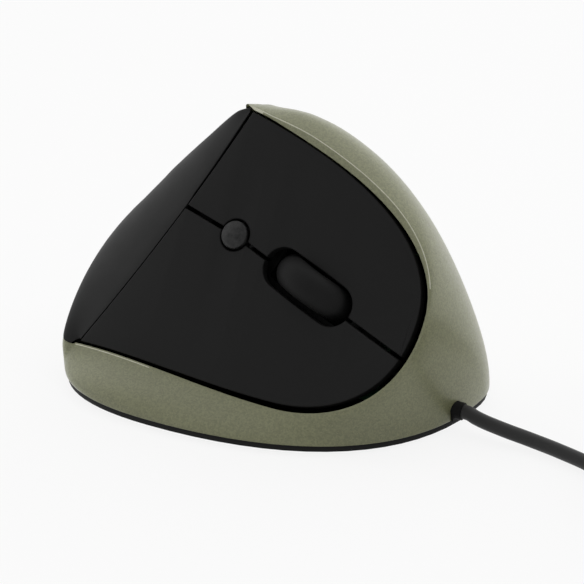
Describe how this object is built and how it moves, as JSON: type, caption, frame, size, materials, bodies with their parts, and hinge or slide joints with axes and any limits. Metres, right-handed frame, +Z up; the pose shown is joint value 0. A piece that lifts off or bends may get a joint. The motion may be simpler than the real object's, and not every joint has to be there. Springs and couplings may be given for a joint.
{
  "type": "vertical ergonomic mouse",
  "caption": "Right-hand vertical computer mouse: olive-grey shell with sloping black finger keys, smooth scroll wheel, round button, thumb buttons, black palm panel and coiled cable with plug.",
  "frame": {"origin": "on the desk under the middle of the body, at the bottom of the glide feet", "axes": "+X to the nose where the cable leaves, +Y to the thumb side, +Z up"},
  "size_m": [0.2015, 0.0904, 0.0684],
  "materials": {
    "shell_paint": "olive grey metallic paint, satin with fine flake",
    "soft_black": "soft-touch black coating",
    "base_black": "moulded black",
    "foot_grey": "slick glide pad",
    "frame_grey": "moulded dark grey",
    "board_green": "circuit board",
    "case_black": "moulded switch and chip cases",
    "pin_white": "white moulded plastic",
    "wheel_rubber": "smooth black rubber",
    "dpi_black": "satin black cap",
    "thumb_black": "satin black cap",
    "steel": "plain steel",
    "lens_clear": "clear lens",
    "led_red": "red lamp",
    "cable_black": "smooth cable sheath",
    "tie_black": "cable tie",
    "plug_black": "moulded plug grip",
    "plug_metal": "nickel-plated shell",
    "contact_gold": "gold-plated contact"
  },
  "bodies": {
    "housing": {"outer_shell": "shell_paint", "palm_panel": "soft_black", "key_rod": "steel", "base_plate": "base_black", "glide_feet": "foot_grey", "housing_screws": "steel", "button_frame": "frame_grey", "button_board": "board_green", "left_switch": "case_black", "right_switch": "case_black", "click_switch": "case_black", "dpi_guide": "frame_grey", "dpi_switch": "case_black", "thumb_board": "board_green", "thumb_switches": "case_black", "main_board": "board_green", "board_screws": "steel", "sensor_lens": "lens_clear", "sensor_chip": "case_black", "sensor_led": "led_red", "control_chip": "case_black", "cable_socket": "pin_white", "cable_grommet": "cable_black", "inner_lead": "cable_black", "cable": "cable_black", "cable_coil": "cable_black", "cable_tie": "tie_black", "cable_tail": "cable_black", "plug_body": "plug_black", "plug_shell": "plug_metal", "plug_tongue": "pin_white", "plug_contacts": "contact_gold"},
    "left_key": {"left_key": "soft_black", "left_plunger": "pin_white"},
    "right_key": {"right_key": "soft_black", "right_plunger": "pin_white"},
    "wheel_cradle": {"wheel_cradle": "frame_grey", "wheel_encoder": "case_black", "click_plunger": "pin_white"},
    "wheel": {"wheel_hub": "frame_grey", "wheel_tyre": "wheel_rubber"},
    "dpi_button": {"dpi_button": "dpi_black", "dpi_plunger": "pin_white"},
    "forward_button": {"forward_button": "thumb_black", "forward_plunger": "pin_white"},
    "back_button": {"back_button": "thumb_black", "back_plunger": "pin_white"}
  },
  "joints": [
    {"name": "left_key_press", "type": "hinge", "parent": "housing", "child": "left_key", "pos_m": [-0.0101, 0.00768, 0.05329], "axis": [0.4362, 0.4835, 0.7589], "range_deg": [0, 0.7], "stiffness_Nm_per_rad": 2.2},
    {"name": "right_key_press", "type": "hinge", "parent": "housing", "child": "right_key", "pos_m": [-0.0331, -0.01782, 0.01326], "axis": [0.4362, 0.4835, 0.7589], "range_deg": [0, 0.7], "stiffness_Nm_per_rad": 2.2},
    {"name": "wheel_click", "type": "hinge", "parent": "housing", "child": "wheel_cradle", "pos_m": [0.00414, -0.00283, 0.03456], "axis": [0.3623, 0.5008, 0.7861], "range_deg": [0, 1], "stiffness_Nm_per_rad": 1.4},
    {"name": "wheel_spin", "type": "hinge", "parent": "wheel_cradle", "child": "wheel", "pos_m": [0.0171, -0.00553, 0.03031], "axis": [0.3623, 0.5008, 0.7861], "continuous": true},
    {"name": "dpi_press", "type": "slide", "parent": "housing", "child": "dpi_button", "axis": [0, 0.8434, -0.5373], "range_m": [0, 0.0005], "stiffness_N_per_m": 3000},
    {"name": "forward_press", "type": "slide", "parent": "housing", "child": "forward_button", "axis": [-0.1601, -0.9309, -0.3284], "range_m": [0, 0.0005], "stiffness_N_per_m": 2500},
    {"name": "back_press", "type": "slide", "parent": "housing", "child": "back_button", "axis": [-0.1601, -0.9309, -0.3284], "range_m": [0, 0.0005], "stiffness_N_per_m": 2500}
  ]
}
